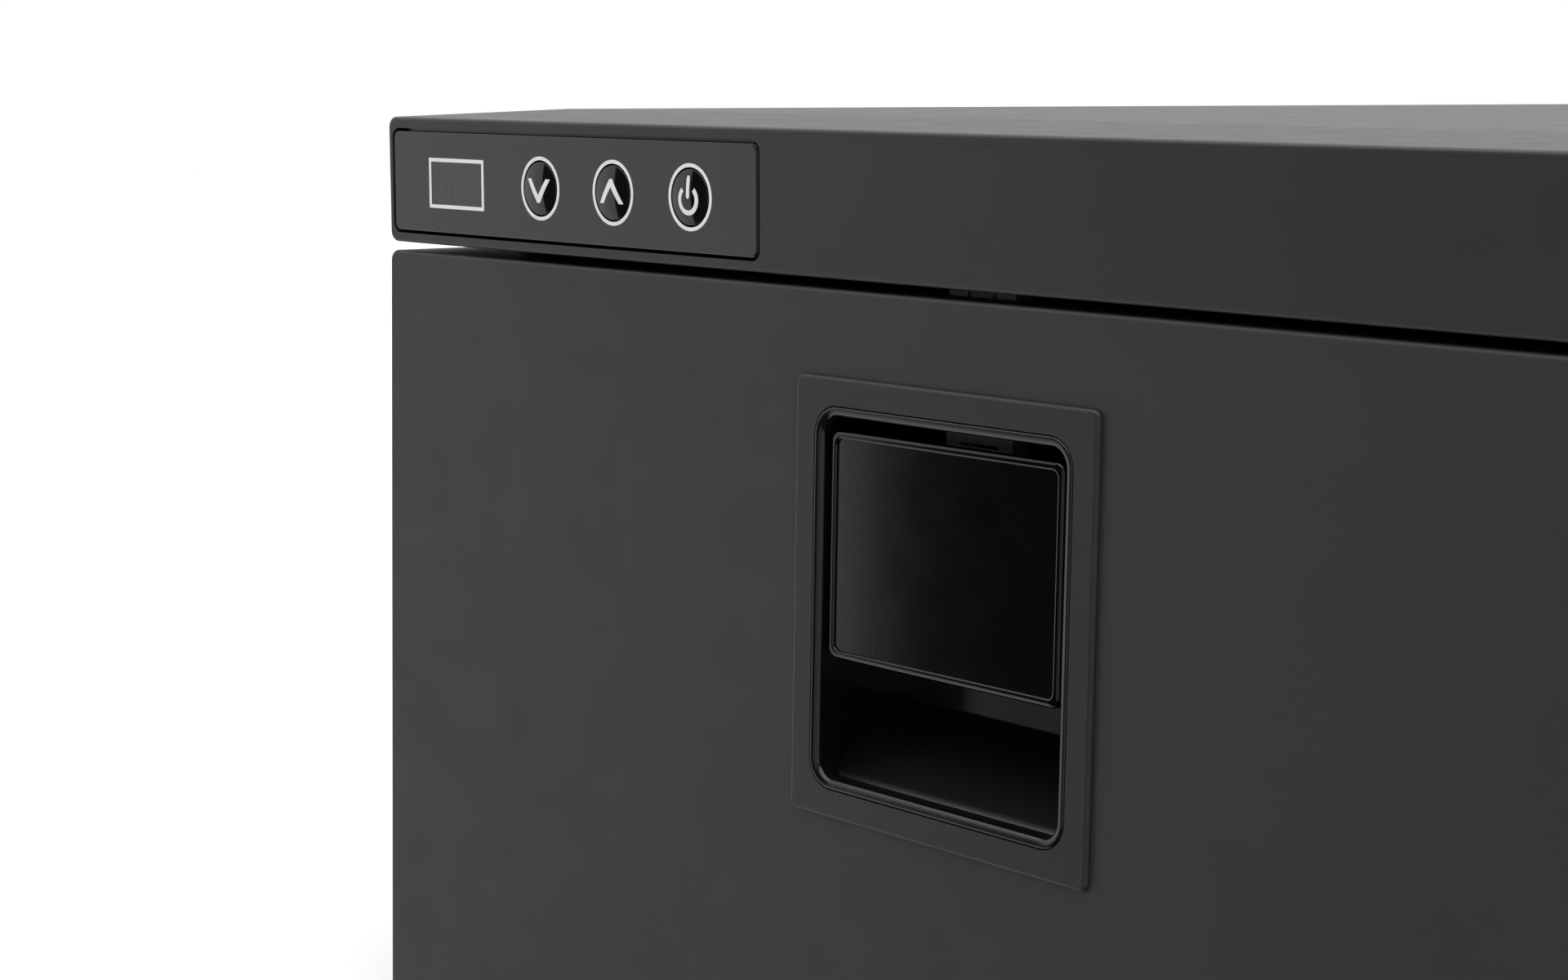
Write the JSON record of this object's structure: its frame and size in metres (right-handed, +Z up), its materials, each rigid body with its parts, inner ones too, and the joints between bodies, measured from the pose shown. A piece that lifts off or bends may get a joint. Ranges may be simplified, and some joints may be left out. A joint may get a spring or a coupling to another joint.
{
  "type": "drawer refrigerator",
  "caption": "Built-in drawer refrigerator: control strip with display and domed buttons above a thick insulated drawer front with a paddle latch; compressor compartment at the rear.",
  "frame": {"origin": "under the middle of the appliance, on the surface that its feet rest on", "axes": "+Z up, the drawer opens towards -Y, +X to the right of someone facing the drawer"},
  "size_m": [0.442, 0.5644, 0.256],
  "materials": {
    "painted_steel": "black satin powder coat",
    "zinc_steel": "zinc plated",
    "front_plastic": "fine grained black",
    "panel_gloss": "polished black",
    "display_glass": "smoked, polished",
    "bolt_plastic": "grey moulded",
    "liner_plastic": "light grey, smooth",
    "foam": "rigid polyurethane foam",
    "rubber": "soft black",
    "board": "green circuit board",
    "aluminium": "plain mill finish",
    "copper": "drawn copper"
  },
  "bodies": {
    "cabinet": {"outer_wrap": "painted_steel", "base_pan": "painted_steel", "mounting_inserts": "zinc_steel", "feet": "rubber", "rear_grille": "painted_steel", "rear_screws": "zinc_steel", "power_inlet": "front_plastic", "fuse_cap": "front_plastic", "bulkhead": "painted_steel", "tube_grommet": "rubber", "inner_liner": "liner_plastic", "cabinet_foam": "foam", "front_frame": "front_plastic", "evaporator_plate": "aluminium", "temperature_sensor": "rubber", "control_strip": "front_plastic", "strike": "painted_steel", "control_panel": "panel_gloss", "display_window": "display_glass", "panel_carrier": "front_plastic", "control_board": "board", "board_spacers": "board", "tact_switches": "board", "display_module": "panel_gloss", "outer_rail_left": "zinc_steel", "outer_rail_right": "zinc_steel", "compressor": "painted_steel", "compressor_grommets": "rubber", "compressor_controller": "front_plastic", "condenser_fins": "aluminium", "condenser_tube": "copper", "fan_frame": "front_plastic", "filter_drier": "copper", "suction_tube": "copper", "discharge_tube": "copper", "liquid_tube": "copper"},
    "drawer": {"drawer_shell": "front_plastic", "drawer_foam": "foam", "drawer_inner_panel": "liner_plastic", "door_gasket": "rubber", "storage_bin": "liner_plastic", "bin_divider": "liner_plastic", "inner_rail_left": "zinc_steel", "inner_rail_right": "zinc_steel", "side_plate_left": "zinc_steel", "side_plate_right": "zinc_steel", "latch_bezel": "front_plastic", "latch_cup": "front_plastic", "bolt_guide": "front_plastic", "latch_pin": "zinc_steel", "latch_spring": "zinc_steel"},
    "middle_rails": {"middle_rail_left": "zinc_steel", "middle_rail_right": "zinc_steel"},
    "paddle": {"latch_paddle": "front_plastic"},
    "bolt": {"latch_bolt": "bolt_plastic"},
    "fan": {"fan_rotor": "front_plastic"},
    "button_down": {"button_down": "panel_gloss"},
    "button_up": {"button_up": "panel_gloss"},
    "button_power": {"button_power": "panel_gloss"}
  },
  "joints": [
    {"name": "drawer_slide", "type": "slide", "parent": "cabinet", "child": "drawer", "axis": [0, -1, 0], "range_m": [0, 0.23]},
    {"name": "rail_slide", "type": "slide", "parent": "cabinet", "child": "middle_rails", "axis": [0, -1, 0], "range_m": [0, 0.115]},
    {"name": "paddle_pull", "type": "hinge", "parent": "drawer", "child": "paddle", "pos_m": [0, -0.27425, 0.1793], "axis": [-1, 0, 0], "range_deg": [0, 35], "stiffness_Nm_per_rad": 0.12, "springref_deg": -20.05},
    {"name": "bolt_draw", "type": "slide", "parent": "drawer", "child": "bolt", "axis": [0, 0, -1], "range_m": [0, 0.0042]},
    {"name": "button_down_press", "type": "slide", "parent": "cabinet", "child": "button_down", "axis": [0, 0.9997, 0.0241], "range_m": [0, 0.0008], "stiffness_N_per_m": 2000, "springref_m": -0.0002},
    {"name": "button_up_press", "type": "slide", "parent": "cabinet", "child": "button_up", "axis": [0, 0.9997, 0.0241], "range_m": [0, 0.0008], "stiffness_N_per_m": 2000, "springref_m": -0.0002},
    {"name": "button_power_press", "type": "slide", "parent": "cabinet", "child": "button_power", "axis": [0, 0.9997, 0.0241], "range_m": [0, 0.0008], "stiffness_N_per_m": 2000, "springref_m": -0.0002},
    {"name": "fan_spin", "type": "hinge", "parent": "cabinet", "child": "fan", "pos_m": [0.109, 0.19425, 0.0935], "axis": [0, 1, 0], "continuous": true}
  ],
  "couplings": [
    {"joint": "rail_slide", "follows": "drawer_slide", "ratio": 0.5},
    {"joint": "bolt_draw", "follows": "paddle_pull", "m_per_rad": 0.00687}
  ]
}
